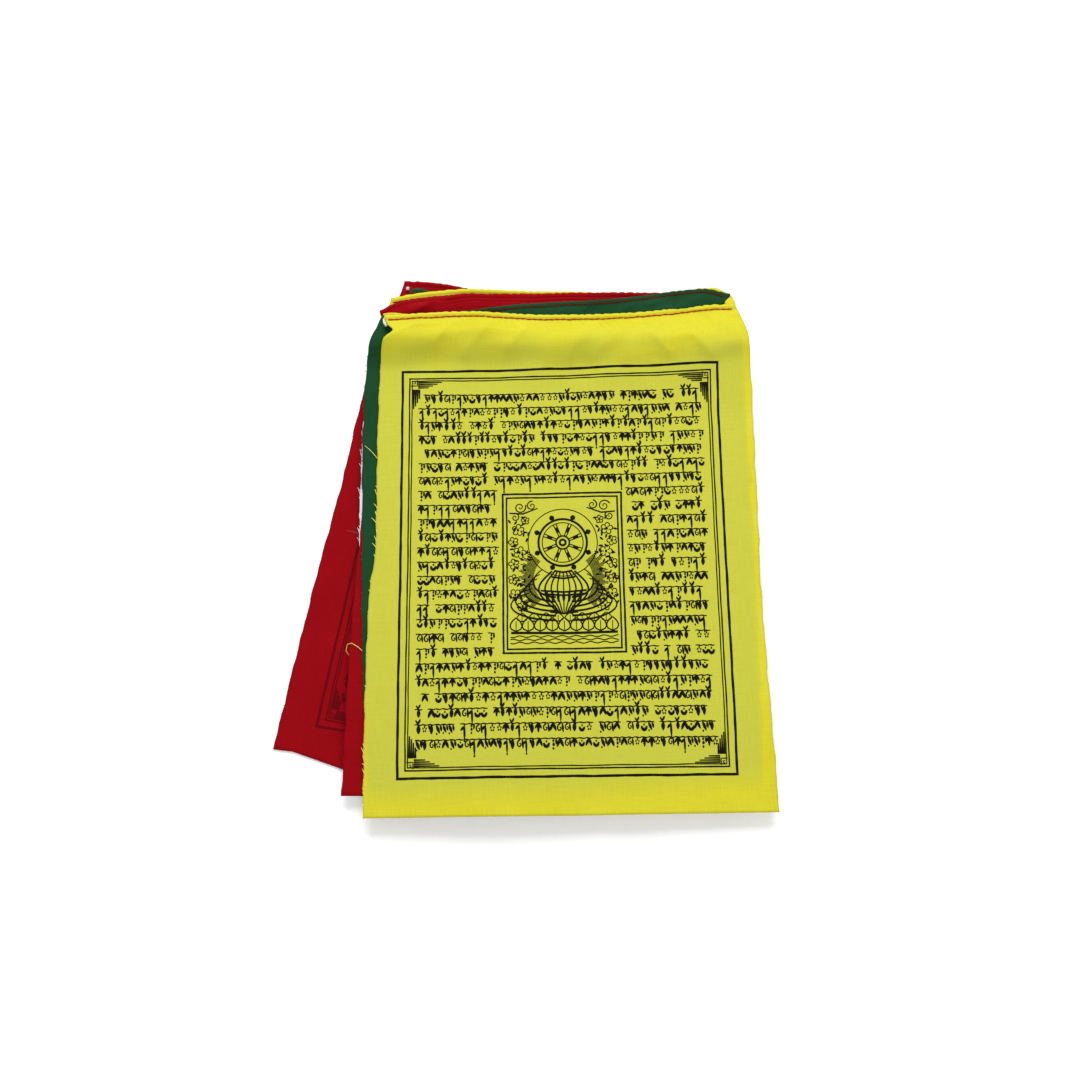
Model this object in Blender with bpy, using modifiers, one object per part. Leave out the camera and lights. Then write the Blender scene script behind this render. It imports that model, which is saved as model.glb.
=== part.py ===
"""A string of eight prayer flags, folded back and forth at its seams into one flat bundle.

The bundle lies face up. X runs along the headings, Y runs from the cut feet of the flags up to their
headings, and Z is up. The origin is on the flat underside, below the middle of the printed panel.
Each flag is one cloth whose top edge is folded under, round a white cord that runs through all eight
hems. The flags are laid one after the other, the lowest first, each on what lies below it.
Sizes in the tables are millimetres.
"""

import math

import bpy
import numpy as np

MM = 0.001

CLOTH = 1.0
GAP = 0.3
CORD_RADIUS = 0.9
CORD_ROOM = 0.4
BEAD = CORD_RADIUS + CORD_ROOM + CLOTH / 2
FLAG_DROP = 259.0
HEM_DEPTH = 4.2
HEM_SLOPE_END = 8.0
HEM_STIFF = 5.6
CORD_STUB = 1.6
TURN_REACH = 4.6
SAG_PER_MM = 0.030
EDGE_DROOP = 0.05
SAG_ACROSS = 0.8
HEM_TILT = 0.45
BEARING = 0.8
CLEAR = 0.34
REACH_X, REACH_Y = (-152, 114), (-136, 170)

# Where each heading's cord lies: its Y at these places along X.
STATIONS = (-90, -70, -45, -15, 15, 45, 70, 90)

# Each flag's outline. head is the cord's Y at STATIONS; sides has rows of (down from the cord, left X,
# right X); foot has rows of (share of the width from the left, Y); columns is how many strips its mesh has.
FLAGS = {
    "flag_8_red": {
        "cloth": "red",
        "columns": 12,
        "head": (156.2, 155.3, 151.0, 146.0, 142.0, 138.0, 134.0, 131.0),
        "sides": ((0, -85, 92), (8, -87.5, 93), (62, -104.8, 90), (115, -114.5, 82), (165, -125, 72), (259, -142, 54)),
        "foot": ((0, -90.5), (0.18, -101), (0.5, -112), (1, -119)),
    },
    "flag_7_green": {
        "cloth": "green",
        "columns": 9,
        "head": (150.4, 152.6, 146.0, 138.0, 131.0, 128.0, 125.0, 122.5),
        "sides": ((0, -90, 91), (12, -93, 94), (60, -98, 95), (259, -104.5, 91)),
        "foot": ((0, -108), (1, -121)),
    },
    "flag_6_yellow": {
        "cloth": "yellow",
        "columns": 9,
        "head": (145.4, 148.6, 149.0, 149.3, 149.7, 147.8, 143.0, 139.0),
        "sides": ((0, -91, 90), (12, -94, 93), (60, -98, 95), (259, -103, 94)),
        "foot": ((0, -110), (1, -120)),
    },
    "flag_5_blue": {
        "cloth": "blue",
        "columns": 9,
        "head": (131.0, 130.0, 129.0, 128.5, 125.0, 122.0, 119.5, 117.5),
        "sides": ((0, -92, 91), (12, -96, 94), (60, -100, 96), (259, -104.5, 93)),
        "foot": ((0, -112), (1, -117)),
    },
    "flag_4_white": {
        "cloth": "white",
        "columns": 9,
        "head": (122.0, 121.0, 120.0, 119.5, 116.5, 114.0, 112.0, 110.5),
        "sides": ((0, -93, 92), (12, -96, 95), (63, -104, 96), (150, -104, 96), (259, -106, 94)),
        "foot": ((0, -113), (1, -119)),
    },
    "flag_3_red": {
        "cloth": "red",
        "columns": 13,
        "head": (140.0, 143.5, 145.3, 146.3, 147.8, 148.8, 147.0, 144.0),
        "sides": ((0, -95, 90), (12, -97, 93), (120, -102.7, 96), (160, -105, 96), (259, -107.4, 95)),
        "foot": ((0, -114), (1, -115)),
    },
    "flag_2_green": {
        "cloth": "green",
        "columns": 13,
        "head": (134.4, 135.0, 136.7, 139.7, 141.6, 145.1, 148.5, 144.5),
        "sides": (
            (0, -95, 88.5), (5, -97.5, 91), (16, -101, 93), (42, -103.3, 94.2), (66, -103.4, 95.4),
            (110, -102.2, 96.2), (160, -100.4, 96.5), (259, -94.4, 95.9),
        ),
        "foot": ((0, -119.7), (0.5, -117.5), (1, -111.2)),
    },
    "flag_1_yellow": {
        "cloth": "yellow",
        "columns": 16,
        "head": (132.2, 134.6, 135.3, 133.7, 132.7, 135.4, 137.6, 138.6),
        "sides": (
            (0, -93, 91.5), (4, -91.5, 94), (8, -89.6, 95.7), (13, -93.2, 97.4), (30, -95.4, 98.8),
            (60, -95.5, 99.3), (120, -95, 99.2), (137, -96.6, 99), (180, -97.1, 99.9), (259, -96.3, 103.1),
        ),
        "foot": ((0, -124.7), (0.5, -123.5), (1, -121.7)),
    },
}

# The main rows of every cloth, in mm down from the cord, and how high the upper layer of the hem
# stands over the lower one there.
HEM_ROWS = ((0.0, 2 * BEAD), (1.2, 3.14), (2.6, 2.25), (4.0, 1.45), (5.4, 1.0), (6.7, 0.4), (HEM_SLOPE_END, 0.0))
DROP_ROWS = (10.5, 13, 17, 22, 30, 42, 60, 90, 120, 137, 165, 210, FLAG_DROP)
ROUND_STEPS = 5

# Principled base colour, as linear red, green and blue, of each dyed cloth.
DYES = {
    "yellow": (0.75, 0.68, 0.04),
    "green": (0.02, 0.13, 0.05),
    "red": (0.30, 0.004, 0.012),
    "white": (0.72, 0.70, 0.74),
    "blue": (0.02, 0.06, 0.30),
    "cord": (0.80, 0.78, 0.76),
}


def table(rows, column, at):
    """Reads one column of a short table at the given values of its first column."""
    steps = [row[0] for row in rows]
    return np.interp(at, steps, [row[column] for row in rows])


def softened(stations, values, at):
    """Reads a line of stations with its corners rounded off."""
    spread = np.array((-9.0, -4.5, 0.0, 4.5, 9.0))
    around = np.asarray(at)[..., None] + spread
    slope_in = (values[1] - values[0]) / (stations[1] - stations[0])
    slope_out = (values[-1] - values[-2]) / (stations[-1] - stations[-2])
    ends = np.clip(stations[0] - around, 0, None) * -slope_in + np.clip(around - stations[-1], 0, None) * slope_out
    return (np.interp(around, stations, values) + ends).mean(axis=-1)


def plan(flag, across, down):
    """The X and Y of a flag's cloth, for shares of its width and mm down from its cord."""
    across, down = np.broadcast_arrays(across, down)
    left = table(flag["sides"], 1, down)
    right = table(flag["sides"], 2, down)
    x = left + (right - left) * across
    head_x = flag["sides"][0][1] + (flag["sides"][0][2] - flag["sides"][0][1]) * across
    head = softened(STATIONS, flag["head"], head_x)
    foot = np.interp(across, [row[0] for row in flag["foot"]], [row[1] for row in flag["foot"]])
    return x, head + (foot - head) * down / FLAG_DROP


class Bed:
    """What the next flag is laid on, as a height for each square millimetre of the floor."""

    def __init__(self):
        self.height = np.zeros((REACH_X[1] - REACH_X[0] + 1, REACH_Y[1] - REACH_Y[0] + 1))

    def cell(self, x, y):
        """The nearest square to each place."""
        columns = np.clip(np.rint(x - REACH_X[0]).astype(int), 0, self.height.shape[0] - 1)
        rows = np.clip(np.rint(y - REACH_Y[0]).astype(int), 0, self.height.shape[1] - 1)
        return columns, rows

    def raise_to(self, points):
        """Raises each square to the highest of the points over it."""
        columns, rows = self.cell(points[..., 0], points[..., 1])
        np.maximum.at(self.height, (columns, rows), points[..., 2])


def dense(grid, step=0.7):
    """Points less than a millimetre apart on the triangles of a grid, with the grid cell of each."""
    def places(axis):
        gaps = np.linalg.norm(np.diff(grid, axis=axis), axis=-1).max(axis=1 - axis)
        counts = np.maximum(1, np.ceil(gaps / step).astype(int))
        inside = [index + np.arange(count) / count for index, count in enumerate(counts)]
        return np.append(np.concatenate(inside), len(counts) - 1e-9)

    row, column = np.meshgrid(places(0), places(1), indexing="ij")
    i, j = row.astype(int), column.astype(int)
    t, s = (row - i)[..., None], (column - j)[..., None]
    a, b, c, d = grid[i, j], grid[i, j + 1], grid[i + 1, j + 1], grid[i + 1, j]
    upper = a + s * (b - a) + t * (c - b)
    lower = a + t * (d - a) + s * (c - d)
    return np.where(s >= t, upper, lower), i, j


def offset(grid, distance):
    """A grid moved along its normals, which point up where the cloth lies face up."""
    along = np.gradient(grid, axis=1)
    down = np.gradient(grid, axis=0)
    normal = np.cross(down, along)
    normal /= np.linalg.norm(normal, axis=-1, keepdims=True)
    return grid + distance * normal


def settled(lowest, x, y):
    """Lets a cloth sag onto the lowest heights that it may have: between two things that hold it up
    it hangs in a shallow parabola, and its free edges droop a little."""
    step_down = np.hypot(np.diff(x, axis=0), np.diff(y, axis=0))
    step_across = np.hypot(np.diff(x, axis=1), np.diff(y, axis=1))
    above, below = step_down[:-1], step_down[1:]
    z = lowest.copy()
    for _ in range(160):
        hung = (z[:-2] * below + z[2:] * above) / (above + below) - SAG_PER_MM * above * below / 2
        z[1:-1] = np.maximum(lowest[1:-1], hung)
        z[-1] = np.maximum(lowest[-1], z[-2] - EDGE_DROOP * step_down[-1])
        beside = (z[:, :-2] + z[:, 2:]) / 2 - SAG_ACROSS
        z[:, 1:-1] = np.maximum(z[:, 1:-1], beside)
        z[:, 0] = np.maximum(z[:, 0], z[:, 1] - EDGE_DROOP * step_across[:, 0])
        z[:, -1] = np.maximum(z[:, -1], z[:, -2] - EDGE_DROOP * step_across[:, -1])
    return z


def stiffened(sole, down):
    """A hem is stiff: it tilts only so far, and lies straight from its far side to its seam."""
    hem = np.flatnonzero(down <= HEM_STIFF)
    steps = np.abs(down[hem][:, None] - down[hem][None, :]) * HEM_TILT
    held = sole.copy()
    held[hem] = (sole[hem][None, :, :] - steps[:, :, None]).max(axis=1)
    far, seam = held[0], held[hem[-1]]
    share = (down[hem] / down[hem[-1]])[:, None]
    straight = far + (seam - far) * share
    held[hem] = straight + (held[hem] - straight).max(axis=0)
    return held


def folded(flag, down, sole):
    """The middle surface of a flag whose lowest layer lies at the given heights: the cut edge of its
    hem, the lower layer, half a circle round the cord, then the upper layer down to the foot."""
    turn = np.radians(np.linspace(-90, 90, ROUND_STEPS + 1)[1:-1])
    along = np.concatenate(((HEM_DEPTH, HEM_DEPTH / 2, 0.0), -BEAD * np.cos(turn), down))
    above = np.concatenate(
        (np.zeros(3), BEAD * (1 + np.sin(turn)), [row[1] for row in HEM_ROWS], np.zeros(len(DROP_ROWS)))
    )
    seam = np.searchsorted(down, HEM_STIFF) - 1
    tilt = np.arctan((sole[seam] - sole[0]) / down[seam])
    lean = np.where(above > 0, 1.0, 0.0)[:, None] * tilt
    across = np.linspace(0, 1, flag["columns"] + 1)
    forward = np.clip(along, 0, None)[:, None]
    beyond = np.clip(-along, 0, None)[:, None]
    x, y = plan(flag, across[None, :], forward)
    base = np.stack([np.interp(forward[:, 0], down, column) for column in sole.T], axis=1)
    y = y + beyond * np.cos(lean) + above[:, None] * np.sin(lean)
    z = base - beyond * np.sin(lean) + above[:, None] * np.cos(lean)
    cord_x, cord_y = plan(flag, across, np.zeros(len(across)))
    cord = np.stack((cord_x, cord_y + BEAD * np.sin(tilt), sole[0] + BEAD * np.cos(tilt)), axis=-1)
    return np.stack((x, y, z), axis=-1), cord


def lacking(sheet, bed):
    """How far each point of a sheet has to rise, so that both its faces clear the bed."""
    lift = np.zeros(sheet.shape[:2])
    for side in (CLOTH / 2, -CLOTH / 2):
        points, i, j = dense(offset(sheet, side))
        lack = bed.height[bed.cell(points[..., 0], points[..., 1])] + GAP - points[..., 2]
        for row in (i, i + 1):
            for column in (j, j + 1):
                np.maximum.at(lift, (row, column), lack)
    return lift


def laid(flag, bed, first):
    """One flag on the bed, and the line that its cord follows."""
    down = np.array([row[0] for row in HEM_ROWS] + list(DROP_ROWS))
    across = np.linspace(0, 1, flag["columns"] + 1)
    x, y = plan(flag, across[None, :], down[:, None])
    if first:
        return folded(flag, down, np.full(x.shape, CLOTH / 2))
    lowest = bed.height[bed.cell(x, y)]
    lowest[0] = np.maximum(lowest[0], bed.height[bed.cell(x[0], y[0] + BEARING)])
    sole = stiffened(settled(lowest + CLEAR + CLOTH / 2, x, y), down)
    hem_rows = 3 + ROUND_STEPS - 1
    for _ in range(30):
        sheet, _ = folded(flag, down, sole)
        lift = lacking(sheet, bed)
        heading = lift[: hem_rows + 1].max(axis=0)
        lift = lift[hem_rows:]
        lift[0] = heading
        sole = stiffened(sole + 0.7 * lift, down)
    return folded(flag, down, sole)


def rippled(sheet):
    """The loose cloth below the top heading stands in soft slanting folds."""
    x, y, z = sheet[..., 0], sheet[..., 1], sheet[..., 2]
    down = sheet[len(sheet) - len(DROP_ROWS) - 1, :, 1][None, :] - y
    swell = np.exp(-(((down - 14) / 13) ** 2))
    wave = 0.5 + 0.5 * np.sin(2 * math.pi * (x + 0.9 * down) / 41)
    raised = sheet.copy()
    raised[..., 2] = z + np.where(down > 0, 1.1 * swell * wave, 0)
    return raised


def turned(end, start, outward):
    """The cord's bend from one heading to the next, half an ellipse that stands out past them."""
    angle = np.radians(np.linspace(0, 180, 8))[1:-1]
    middle, half = (end + start) / 2, (start - end) / 2
    bend = middle - np.cos(angle)[:, None] * half
    bend[:, 0] += outward * TURN_REACH * np.sin(angle)
    return bend


def material(name):
    """Matt dyed cotton."""
    made = bpy.data.materials.new(name + "_cloth" if name != "cord" else name)
    made.use_nodes = True
    shader = made.node_tree.nodes["Principled BSDF"]
    shader.inputs["Base Color"].default_value = (*DYES[name], 1)
    shader.inputs["Roughness"].default_value = 0.85
    shader.inputs["Metallic"].default_value = 0.0
    return made


def cloth_object(name, sheet, look, collection):
    """A flag as an open surface, given its thickness by Solidify."""
    rows, columns = sheet.shape[:2]
    index = np.arange(rows * columns).reshape(rows, columns)
    a, b, c, d = index[:-1, :-1], index[:-1, 1:], index[1:, 1:], index[1:, :-1]
    faces = np.concatenate((np.stack((a, c, b), -1).reshape(-1, 3), np.stack((a, d, c), -1).reshape(-1, 3)))
    mesh = bpy.data.meshes.new(name)
    mesh.from_pydata((sheet.reshape(-1, 3) * MM).tolist(), [], faces.tolist())
    mesh.materials.append(look)
    mesh.shade_smooth()
    mesh.set_sharp_from_angle(angle=math.radians(50))
    made = bpy.data.objects.new(name, mesh)
    thick = made.modifiers.new("thickness", "SOLIDIFY")
    thick.thickness = CLOTH * MM
    thick.offset = 0
    thick.use_even_offset = True
    collection.objects.link(made)
    return made


def cord_object(name, points, look, collection):
    """The cord as a round tube through all the hems."""
    curve = bpy.data.curves.new(name, "CURVE")
    curve.dimensions = "3D"
    curve.bevel_depth = CORD_RADIUS * MM
    curve.bevel_resolution = 2
    curve.use_fill_caps = True
    spline = curve.splines.new("POLY")
    spline.points.add(len(points) - 1)
    spline.points.foreach_set("co", np.column_stack((points * MM, np.ones(len(points)))).ravel())
    curve.materials.append(look)
    made = bpy.data.objects.new(name, curve)
    collection.objects.link(made)
    return made


def main():
    """Lays the flags from the lowest up, and threads the cord back through them."""
    for old in list(bpy.data.objects):
        bpy.data.objects.remove(old, do_unlink=True)
    collection = bpy.data.collections.new("prayer_flag_bundle")
    bpy.context.scene.collection.children.link(collection)
    looks = {name: material(name) for name in DYES}

    bed = Bed()
    route = None
    names = list(FLAGS)
    for number, name in enumerate(names):
        flag = FLAGS[name]
        sheet, line = laid(flag, bed, first=number == 0)
        if name == names[-1]:
            sheet = rippled(sheet)
        cloth_object(name, sheet, looks[flag["cloth"]], collection)
        top, _, _ = dense(offset(sheet, CLOTH / 2))
        bed.raise_to(top)
        run = line if number % 2 == 0 else line[::-1]
        if route is None:
            route = run
            continue
        outward = 1 if number % 2 else -1
        bend = turned(route[-1], run[0], outward)
        for bump in (bend + (0, shift, CORD_RADIUS) for shift in (-0.8, 0, 0.8)):
            bed.raise_to(bump)
        route = np.concatenate((route, bend, run))
    first_stub = route[0] - (CORD_STUB, 0, 0)
    last_way = 1 if len(names) % 2 else -1
    last_stub = route[-1] + (last_way * CORD_STUB, 0, 0)
    route = np.concatenate((first_stub[None], route, last_stub[None]))
    cord_object("cord", route, looks["cord"], collection)


main()
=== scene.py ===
"""A string of prayer flags folded into a flat bundle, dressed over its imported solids.

X runs along the headings, Y from the cut feet to the headings, Z is up. Sizes are millimetres until a
mesh is made. Each cloth is a function of two parameters: the share of its width from the left, and how
far its row lies down from the cord.
"""

import math

import bpy
import numpy as np
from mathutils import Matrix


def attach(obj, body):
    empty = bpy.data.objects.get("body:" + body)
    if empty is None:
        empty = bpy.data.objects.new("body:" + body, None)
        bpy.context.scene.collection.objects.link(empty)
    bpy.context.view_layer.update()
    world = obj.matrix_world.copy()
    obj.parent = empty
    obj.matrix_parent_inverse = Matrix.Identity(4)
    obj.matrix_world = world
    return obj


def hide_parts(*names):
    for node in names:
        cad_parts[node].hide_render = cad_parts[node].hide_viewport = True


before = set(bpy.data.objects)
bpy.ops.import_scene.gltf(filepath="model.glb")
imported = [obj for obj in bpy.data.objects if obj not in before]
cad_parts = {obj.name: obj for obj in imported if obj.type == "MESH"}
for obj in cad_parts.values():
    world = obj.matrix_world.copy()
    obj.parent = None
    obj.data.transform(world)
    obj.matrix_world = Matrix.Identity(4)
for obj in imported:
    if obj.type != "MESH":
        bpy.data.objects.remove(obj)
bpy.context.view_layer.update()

# CAD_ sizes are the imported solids'; the turn is the cord's bare bend from one heading to the next
MM = 0.001
TURN = 2 * math.pi
CAD_CLOTH = 1.0
CAD_BEAD = 1.8
FLAG_DROP = 259.0
FLAG_SIZE = (0.197, 0.270)
CLOTH = 0.36
INK_LIFT = 0.05
CORD_RADIUS = 1.05
TUNNEL = 1.42
HEM_RETURN = 4.4
SEAM = 1.9
SLOPE_START = 8.0
SLOPE_END = 28.0
TURN_REACH = 3.6
TURN_SINK = 2.6
TUCK = 6.0
STATIONS = (-90, -70, -45, -15, 15, 45, 70, 90)
CAD_ROWS = (8.0, 10.5, 13, 17, 22, 30, 42, 60, 90, 120, 137, 165, 210, 259)
STITCH = 3.0
PUCKER = 4.4
LAY = 5.2
STRAND = 0.50
STRAND_OUT = 0.46
FOCAL_PX = 1282
IMAGE_PX = 1080
BODY = "root"

# strips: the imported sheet's columns. across and pitch: the cloth's own columns, and mm between its rows.
# head: the cord's Y at STATIONS. shift: rows of (X, mm by which the cord lies past that line).
# sides: rows of (down from the cord, left X, right X). foot: rows of (share of the width, Y).
# seam: mm from the cord to the stitches, where it isn't SEAM.
FLAGS = {
    "flag_8_red": {
        "strips": 12, "across": 100, "pitch": 2.0,
        "head": (156.2, 155.3, 151.0, 146.0, 142.0, 138.0, 134.0, 131.0),
        "sides": ((0, -85, 92), (8, -87.5, 93), (62, -104.8, 90), (115, -114.5, 82), (165, -125, 72),
                  (235, -138.4, 58.6), (259, -143.0, 54)),
        "foot": ((0, -91.0), (0.05, -92.2), (0.18, -101), (0.5, -112), (1, -119)),
        "shift": ((-90, 2.6), (-60, 2.7), (-45, 1.8), (0, 0.6)),
    },
    "flag_7_green": {
        "strips": 9, "across": 60, "pitch": 4.0,
        "head": (150.4, 152.6, 146.0, 138.0, 131.0, 128.0, 125.0, 122.5),
        "sides": ((0, -80.5, 91), (4, -84.0, 92), (12, -93, 94), (60, -98, 95), (259, -104.5, 91)),
        "shift": ((-81, 1.7), (-75, 1.5), (-71, 0), (-67, -2.5), (-60, -4), (-30, 0.6)),
        "foot": ((0, -108), (1, -121)),
    },
    "flag_6_yellow": {
        "strips": 9, "across": 90, "pitch": 4.0,
        "head": (145.4, 148.6, 149.0, 149.3, 149.7, 147.8, 143.0, 139.0),
        "sides": ((0, -91, 90), (12, -94, 93), (60, -98, 95), (259, -103, 94)),
        "foot": ((0, -110), (1, -120)),
    },
    "flag_5_blue": {
        "strips": 9, "across": 60, "pitch": 4.0,
        "head": (131.0, 130.0, 129.0, 128.5, 125.0, 122.0, 119.5, 117.5),
        "sides": ((0, -92, 91), (12, -96, 94), (60, -100, 96), (259, -104.5, 93)),
        "foot": ((0, -112), (1, -117)),
    },
    "flag_4_white": {
        "strips": 9, "across": 60, "pitch": 4.0,
        "head": (122.0, 121.0, 120.0, 119.5, 116.5, 114.0, 112.0, 110.5),
        "sides": ((0, -93, 92), (12, -96, 95), (40, -102.3, 95.5), (52, -103.9, 96), (100, -104.0, 96),
                  (125, -103.4, 96), (259, -106, 94)),
        "foot": ((0, -113), (1, -119)),
    },
    "flag_3_red": {
        "strips": 13, "across": 150, "pitch": 2.4,
        "head": (140.0, 143.5, 145.3, 146.3, 147.8, 148.8, 147.0, 144.0),
        "sides": ((0, -96.4, 90), (3, -95.2, 91), (12, -97, 93), (120, -102.7, 96), (160, -105, 96),
                  (259, -107.4, 95)),
        "shift": ((-97, -2.6), (-91, 0.4), (-86, 1.3), (-71, 1.0), (-60, -0.2), (-50, 0.1), (-30, 0.3),
                  (0, 0.6)),
        "foot": ((0, -114), (1, -115)),
    },
    "flag_2_green": {
        "strips": 13, "across": 150, "pitch": 2.0,
        "head": (134.4, 135.0, 136.7, 139.7, 141.6, 145.1, 148.5, 144.5),
        "seam": 0.9,
        "shift": ((-95, -1.6), (-60, -1.5), (-50, -0.6), (-40, 0.2), (0, 0.6)),
        "sides": ((0, -95, 88.8), (3, -96.5, 86.5), (6, -97.8, 83.0), (9, -99.2, 78.5), (16, -101, 93),
                  (42, -103.3, 94.2), (66, -103.4, 95.4), (110, -102.2, 96.2), (160, -100.4, 96.5),
                  (259, -94.4, 95.9)),
        "foot": ((0, -119.7), (0.5, -117.5), (1, -111.2)),
    },
    "flag_1_yellow": {
        "strips": 16, "across": 190, "pitch": 1.5,
        "head": (132.2, 134.6, 135.3, 133.7, 132.7, 135.4, 137.6, 138.6),
        "seam": 1.5,
        "shift": ((-93, -0.9), (-75, -1.9), (-55, -2.2), (-30, -1.7), (0, -1.0), (40, -0.6), (80, 0.4)),
        "sides": ((0, -93, 91.3), (4, -91.0, 93.2), (8.5, -88.2, 94.6), (13.5, -92.4, 95.7),
                  (19, -94.0, 96.7), (30, -95.2, 97.8), (60, -95.5, 98.9), (120, -94.6, 99.2),
                  (136, -95.1, 99), (141, -96.7, 99), (180, -97.1, 99.9), (259, -96.3, 103.1)),
        "foot": ((0, -124.7), (0.5, -123.5), (1, -121.7)),
    },
}

scene = bpy.context.scene


# Numbers and curves


def columns(*parts):
    """Numbers and arrays of one shape as the last axis of one array."""
    return np.stack(np.broadcast_arrays(*parts), -1)


def smoothstep(low, high, value):
    """0 below low and 1 above high, with a cubic between them."""
    share = np.clip((value - low) / (high - low), 0, 1)
    return share * share * (3 - 2 * share)


def slopes(knots, values):
    """The tangent at each knot: the weighted mean of the two slopes beside it, and none at a peak."""
    gaps = np.diff(knots).reshape(-1, *([1] * (values.ndim - 1)))
    secants = np.diff(values, axis=0) / gaps
    before, after = secants[:-1], secants[1:]
    total = before + after
    inner = np.where(before * after > 0, 2 * before * after / (total + 1e-12 * np.sign(total + 1e-30)), 0)
    return np.concatenate((secants[:1], inner, secants[-1:]))


def piece_of(knots, at):
    """In which gap between knots each place lies, and at what share of it."""
    i = np.clip(np.searchsorted(knots, at, side="right") - 1, 0, len(knots) - 2)
    return i, np.clip((at - knots[i]) / (knots[i + 1] - knots[i]), 0, 1)


def through(knots, values, at):
    """A smooth curve through rows of values: cubic Hermite pieces between the knots, with no overshoot."""
    knots = np.asarray(knots, float)
    values = np.asarray(values, float)
    tangent = slopes(knots, values)
    i, t = piece_of(knots, np.asarray(at, float))
    extra = [1] * (values.ndim - 1)
    t = t.reshape(-1, *extra)
    width = (knots[i + 1] - knots[i]).reshape(-1, *extra)
    return ((1 + 2 * t) * (1 - t) ** 2 * values[i] + t * (1 - t) ** 2 * width * tangent[i]
            + t * t * (3 - 2 * t) * values[i + 1] + t * t * (t - 1) * width * tangent[i + 1])


def wander(at, pitch, seed):
    """A smooth random line of about unit height: sines of falling length and height with random phases."""
    phases = np.random.default_rng(seed).uniform(0, TURN, 3)
    total = np.zeros_like(np.asarray(at, float))
    for level, phase in enumerate(phases):
        total = total + np.sin(TURN * np.asarray(at) * 1.73**level / pitch + phase) / 1.6**level
    return total / 1.6


def ripple(x, y, pitch, seed):
    """A smooth random surface of about unit height: six plane waves of random heading, length and phase."""
    chance = np.random.default_rng(seed)
    total = np.zeros(np.broadcast(x, y).shape)
    for _ in range(6):
        angle, phase = chance.uniform(0, TURN, 2)
        length = pitch * chance.uniform(0.6, 1.6)
        total += np.sin(TURN * (x * math.cos(angle) + y * math.sin(angle)) / length + phase)
    return total / 2.4


def beside(x, y, start, end):
    """How far each place lies past the ends of a line between two places, and how far to its side."""
    start, end = np.array(start, float), np.array(end, float)
    along = end - start
    length = math.hypot(*along)
    along = along / length
    run = (x - start[0]) * along[0] + (y - start[1]) * along[1]
    side = (y - start[1]) * along[0] - (x - start[0]) * along[1]
    return np.clip(-run, 0, None) + np.clip(run - length, 0, None), side


def ledge(x, y, start, end, height, left, right):
    """A fold between two places: it falls off slowly to its left, fast to its right, and past its ends."""
    past, side = beside(x, y, start, end)
    side = side * np.sqrt(1 + 0.3 / (side**2 + 0.05))
    slope = np.where(side > 0, side / left, -side / right)
    return height * np.exp(-slope) * np.exp(-(past / 6) ** 2)


# The cloths


def plan(flag, share, down):
    """The X and Y of a flag's cloth: its sides and foot as smooth lines, its rows running between them."""
    down_line = np.unique(np.asarray(down, float))
    rows = np.array(flag["sides"], float)
    edges = through(rows[:, 0], rows[:, 1:], down_line)
    left = np.interp(down, down_line, edges[:, 0])
    right = np.interp(down, down_line, edges[:, 1])
    x = left + (right - left) * share
    head_x = rows[0, 1] + (rows[0, 2] - rows[0, 1]) * share
    head = np.mean([np.interp(head_x + step, STATIONS, flag["head"]) for step in (-6, -3, 0, 3, 6)], axis=0)
    foot_rows = np.array(flag["foot"], float)
    foot = np.interp(share, foot_rows[:, 0], foot_rows[:, 1])
    return x, head + (foot - head) * down / FLAG_DROP


def vertex_places(obj):
    """The places of a mesh's vertices, in mm."""
    points = np.empty(len(obj.data.vertices) * 3, np.float32)
    obj.data.vertices.foreach_get("co", points)
    return points.reshape(-1, 3) / MM


def packed_sheet(name):
    """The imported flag's middle heights and cord line, from the highest vertex near each of its corners."""
    flag = FLAGS[name]
    points = vertex_places(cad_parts[name])
    share = np.linspace(0, 1, flag["strips"] + 1)
    down, across = np.meshgrid(np.array(CAD_ROWS, float), share, indexing="ij")
    x, y = packed_plan(name, across, down)
    gap = np.hypot(points[:, 0] - x[..., None], points[:, 1] - y[..., None])
    near = gap < np.maximum(gap.min(axis=-1, keepdims=True) + 0.35, 0.6)
    height = np.where(near, points[:, 2], -1e3).max(axis=-1) - CAD_CLOTH / 2
    head_x, head_y = packed_plan(name, share, np.zeros(len(share)))
    beside_head = (np.abs(points[:, 0] - head_x[:, None]) < 1.0) & (points[:, 1] > head_y[:, None] - 1.0)
    reach = CAD_BEAD + CAD_CLOTH / 2
    cord_y = np.where(beside_head, points[:, 1], -1e3).max(axis=1) - reach
    cord_z = np.where(beside_head, points[:, 2], -1e3).max(axis=1) - reach
    return share, height, head_x, cord_y, cord_z


def last_rows(name, count):
    return FLAGS[name]["sides"][-count:]


PACKED = {
    "flag_8_red": {"sides": FLAGS["flag_8_red"]["sides"][:-1] + ((259, -142, 54),),
                   "foot": ((0, -90.5), (0.18, -101), (0.5, -112), (1, -119))},
    "flag_7_green": {"sides": ((0, -90, 91),) + last_rows("flag_7_green", 3)},
    "flag_4_white": {"sides": ((0, -93, 92), (12, -96, 95), (63, -104, 96), (150, -104, 96),
                               (259, -106, 94))},
    "flag_3_red": {"sides": ((0, -95, 90),) + last_rows("flag_3_red", 4)},
    "flag_2_green": {"sides": ((0, -95, 88.5), (5, -97.5, 91)) + last_rows("flag_2_green", 6)},
    "flag_1_yellow": {"sides": ((0, -93, 91.5), (4, -91.5, 94), (8, -89.6, 95.7), (13, -93.2, 97.4),
                                (30, -95.4, 98.8), (60, -95.5, 99.3), (120, -95, 99.2), (137, -96.6, 99))
                      + last_rows("flag_1_yellow", 2)},
}


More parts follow.
